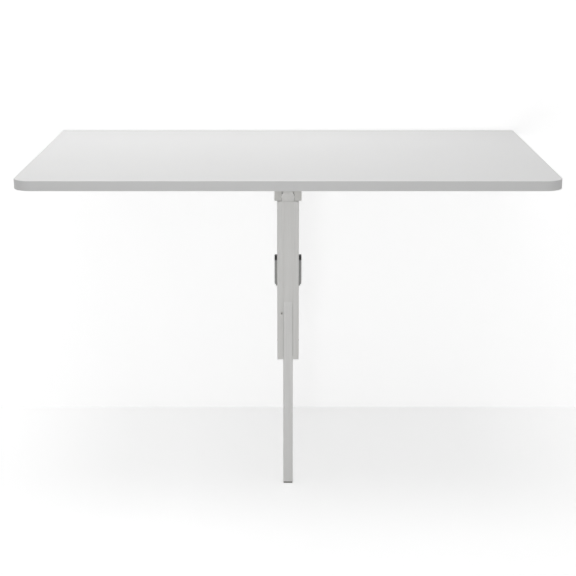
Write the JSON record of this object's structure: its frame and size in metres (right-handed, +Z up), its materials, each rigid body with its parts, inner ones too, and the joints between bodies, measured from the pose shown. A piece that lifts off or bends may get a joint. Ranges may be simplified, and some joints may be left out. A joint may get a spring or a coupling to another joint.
{
  "type": "wall mounted drop leaf table",
  "caption": "White wall table whose whole top folds down on hinges; a centre leg slides into itself and folds flat under the top.",
  "frame": {"origin": "centre of the wall fixing holes, on the wall's surface, midway between the two rails", "axes": "+Z up, +X to the right of someone facing the wall, -Y out from the wall towards the table's front edge"},
  "size_m": [1.15, 0.7, 0.75],
  "materials": {
    "white_laminate": "satin white melamine on chipboard",
    "white_edging": "satin white plastic edging",
    "white_painted_wood": "satin white paint on solid wood",
    "zinc_steel": "bright zinc plated steel",
    "hinge_steel": "rolled zinc plated steel",
    "grey_metal": "grey powder coat on steel",
    "black_nylon": "black nylon",
    "black_rubber": "black rubber",
    "grey_pad": "grey non-marking rubber",
    "white_nylon": "white nylon",
    "magnet": "nickel plated magnet"
  },
  "bodies": {
    "wall_rails": {"hinge_1_pin": "zinc_steel", "hinge_1_wall_leaf": "hinge_steel", "hinge_2_pin": "zinc_steel", "hinge_2_wall_leaf": "hinge_steel", "hinge_3_pin": "zinc_steel", "hinge_3_wall_leaf": "hinge_steel", "hinge_4_pin": "zinc_steel", "hinge_4_wall_leaf": "hinge_steel", "wall_rail_left": "white_painted_wood", "wall_rail_right": "white_painted_wood"},
    "leaf": {"bracket_base": "white_painted_wood", "bracket_ear_left": "white_painted_wood", "bracket_ear_right": "white_painted_wood", "catch_housing": "white_nylon", "catch_magnet": "magnet", "hinge_1_top_leaf": "hinge_steel", "hinge_2_top_leaf": "hinge_steel", "hinge_3_top_leaf": "hinge_steel", "hinge_4_top_leaf": "hinge_steel", "leaf_edge_band": "white_edging", "leaf_panel": "white_laminate", "leg_pivot_pin": "zinc_steel", "leg_pivot_washers": "zinc_steel"},
    "upper_leg": {"leg_tongue": "white_painted_wood", "leg_cheek_left": "white_painted_wood", "leg_cheek_right": "white_painted_wood", "leg_front_strip": "white_painted_wood", "leg_back_board": "white_painted_wood", "leg_stop_pin": "zinc_steel", "clamp_rod": "zinc_steel", "catch_plate": "zinc_steel"},
    "lower_leg": {"lower_leg": "white_painted_wood", "foot_pad": "grey_pad"},
    "clamp": {"clamp_bushes": "black_nylon", "clamp_lever": "grey_metal", "clamp_shoe": "black_rubber"}
  },
  "joints": [
    {"name": "leaf_fold", "type": "hinge", "parent": "wall_rails", "child": "leaf", "pos_m": [0, -0.0694, 0.0306], "axis": [1, 0, 0], "range_deg": [0, 90]},
    {"name": "leg_fold", "type": "hinge", "parent": "leaf", "child": "upper_leg", "pos_m": [0, -0.497, -0.007], "axis": [1, 0, 0], "range_deg": [0, 90]},
    {"name": "leg_slide", "type": "slide", "parent": "upper_leg", "child": "lower_leg", "axis": [0, 0, 1], "range_m": [0, 0.2]},
    {"name": "clamp_swing", "type": "hinge", "parent": "upper_leg", "child": "clamp", "pos_m": [0, -0.483, -0.16025], "axis": [1, 0, 0], "range_deg": [0, 12]}
  ]
}
